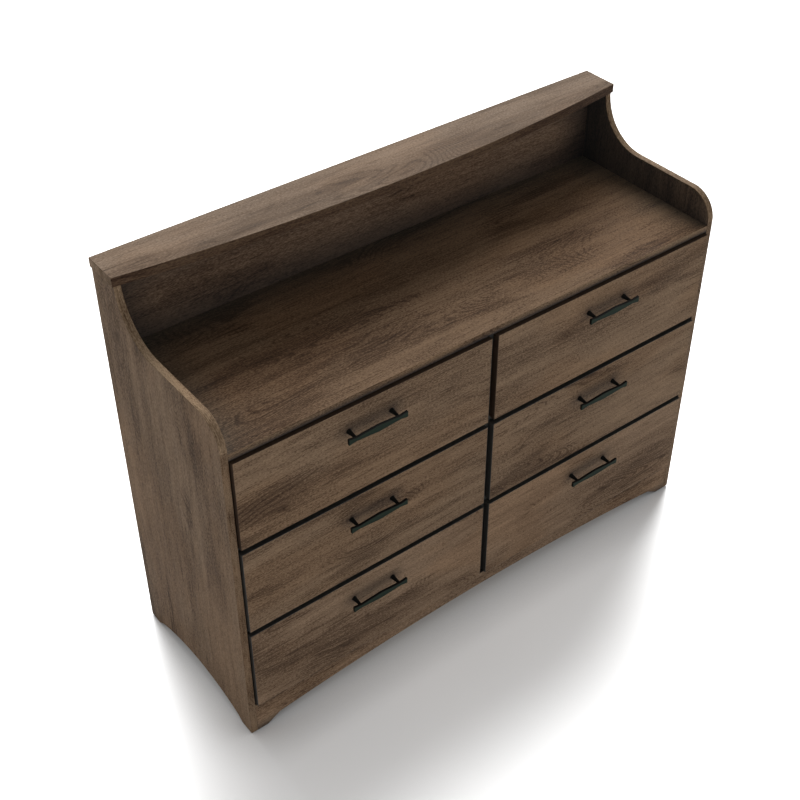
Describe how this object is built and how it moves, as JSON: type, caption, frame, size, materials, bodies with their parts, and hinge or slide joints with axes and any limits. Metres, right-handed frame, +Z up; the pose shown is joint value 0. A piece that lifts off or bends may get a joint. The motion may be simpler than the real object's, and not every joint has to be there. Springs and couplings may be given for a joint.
{
  "type": "double dresser",
  "caption": "Wide wood-laminate dresser with two columns of sliding drawers, bar pulls, an arched base and a raised gallery with a bow-fronted cap board.",
  "frame": {"origin": "on the floor under the centre of the whole piece's outline", "axes": "+X to the right seen from the front, the drawers face -Y, +Z up"},
  "size_m": [1.206, 0.438, 0.938],
  "materials": {
    "wood_laminate": "matte",
    "black_board": "matte",
    "drawer_board": "matte",
    "hardboard": "matte",
    "zinc_steel": "satin",
    "black_metal": "satin",
    "black_plastic": "matte"
  },
  "bodies": {
    "case": {"left_side_panel": "wood_laminate", "right_side_panel": "wood_laminate", "top_board": "wood_laminate", "gallery_cap": "wood_laminate", "gallery_back_panel": "wood_laminate", "back_panel": "hardboard", "centre_partition": "black_board", "bottom_board": "drawer_board", "front_apron": "wood_laminate", "rear_apron": "drawer_board", "upper_left_rail": "black_board", "upper_right_rail": "black_board", "lower_left_rail": "black_board", "lower_right_rail": "black_board", "case_runners": "zinc_steel", "case_fittings": "zinc_steel", "floor_supports": "black_plastic", "wall_bracket": "zinc_steel"},
    "top_left_drawer": {"top_left_drawer_front": "wood_laminate", "top_left_drawer_left_side": "drawer_board", "top_left_drawer_right_side": "drawer_board", "top_left_drawer_back": "drawer_board", "top_left_drawer_bottom": "hardboard", "top_left_drawer_runners": "zinc_steel", "top_left_drawer_pull": "black_metal"},
    "top_right_drawer": {"top_right_drawer_front": "wood_laminate", "top_right_drawer_left_side": "drawer_board", "top_right_drawer_right_side": "drawer_board", "top_right_drawer_back": "drawer_board", "top_right_drawer_bottom": "hardboard", "top_right_drawer_runners": "zinc_steel", "top_right_drawer_pull": "black_metal"},
    "middle_left_drawer": {"middle_left_drawer_front": "wood_laminate", "middle_left_drawer_left_side": "drawer_board", "middle_left_drawer_right_side": "drawer_board", "middle_left_drawer_back": "drawer_board", "middle_left_drawer_bottom": "hardboard", "middle_left_drawer_runners": "zinc_steel", "middle_left_drawer_pull": "black_metal"},
    "middle_right_drawer": {"middle_right_drawer_front": "wood_laminate", "middle_right_drawer_left_side": "drawer_board", "middle_right_drawer_right_side": "drawer_board", "middle_right_drawer_back": "drawer_board", "middle_right_drawer_bottom": "hardboard", "middle_right_drawer_runners": "zinc_steel", "middle_right_drawer_pull": "black_metal"},
    "bottom_left_drawer": {"bottom_left_drawer_front": "wood_laminate", "bottom_left_drawer_left_side": "drawer_board", "bottom_left_drawer_right_side": "drawer_board", "bottom_left_drawer_back": "drawer_board", "bottom_left_drawer_bottom": "hardboard", "bottom_left_drawer_runners": "zinc_steel", "bottom_left_drawer_pull": "black_metal"},
    "bottom_right_drawer": {"bottom_right_drawer_front": "wood_laminate", "bottom_right_drawer_left_side": "drawer_board", "bottom_right_drawer_right_side": "drawer_board", "bottom_right_drawer_back": "drawer_board", "bottom_right_drawer_bottom": "hardboard", "bottom_right_drawer_runners": "zinc_steel", "bottom_right_drawer_pull": "black_metal"}
  },
  "joints": [
    {"name": "top_left_drawer_slide", "type": "slide", "parent": "case", "child": "top_left_drawer", "axis": [0, -1, 0], "range_m": [0, 0.26]},
    {"name": "top_right_drawer_slide", "type": "slide", "parent": "case", "child": "top_right_drawer", "axis": [0, -1, 0], "range_m": [0, 0.26]},
    {"name": "middle_left_drawer_slide", "type": "slide", "parent": "case", "child": "middle_left_drawer", "axis": [0, -1, 0], "range_m": [0, 0.26]},
    {"name": "middle_right_drawer_slide", "type": "slide", "parent": "case", "child": "middle_right_drawer", "axis": [0, -1, 0], "range_m": [0, 0.26]},
    {"name": "bottom_left_drawer_slide", "type": "slide", "parent": "case", "child": "bottom_left_drawer", "axis": [0, -1, 0], "range_m": [0, 0.26]},
    {"name": "bottom_right_drawer_slide", "type": "slide", "parent": "case", "child": "bottom_right_drawer", "axis": [0, -1, 0], "range_m": [0, 0.26]}
  ]
}
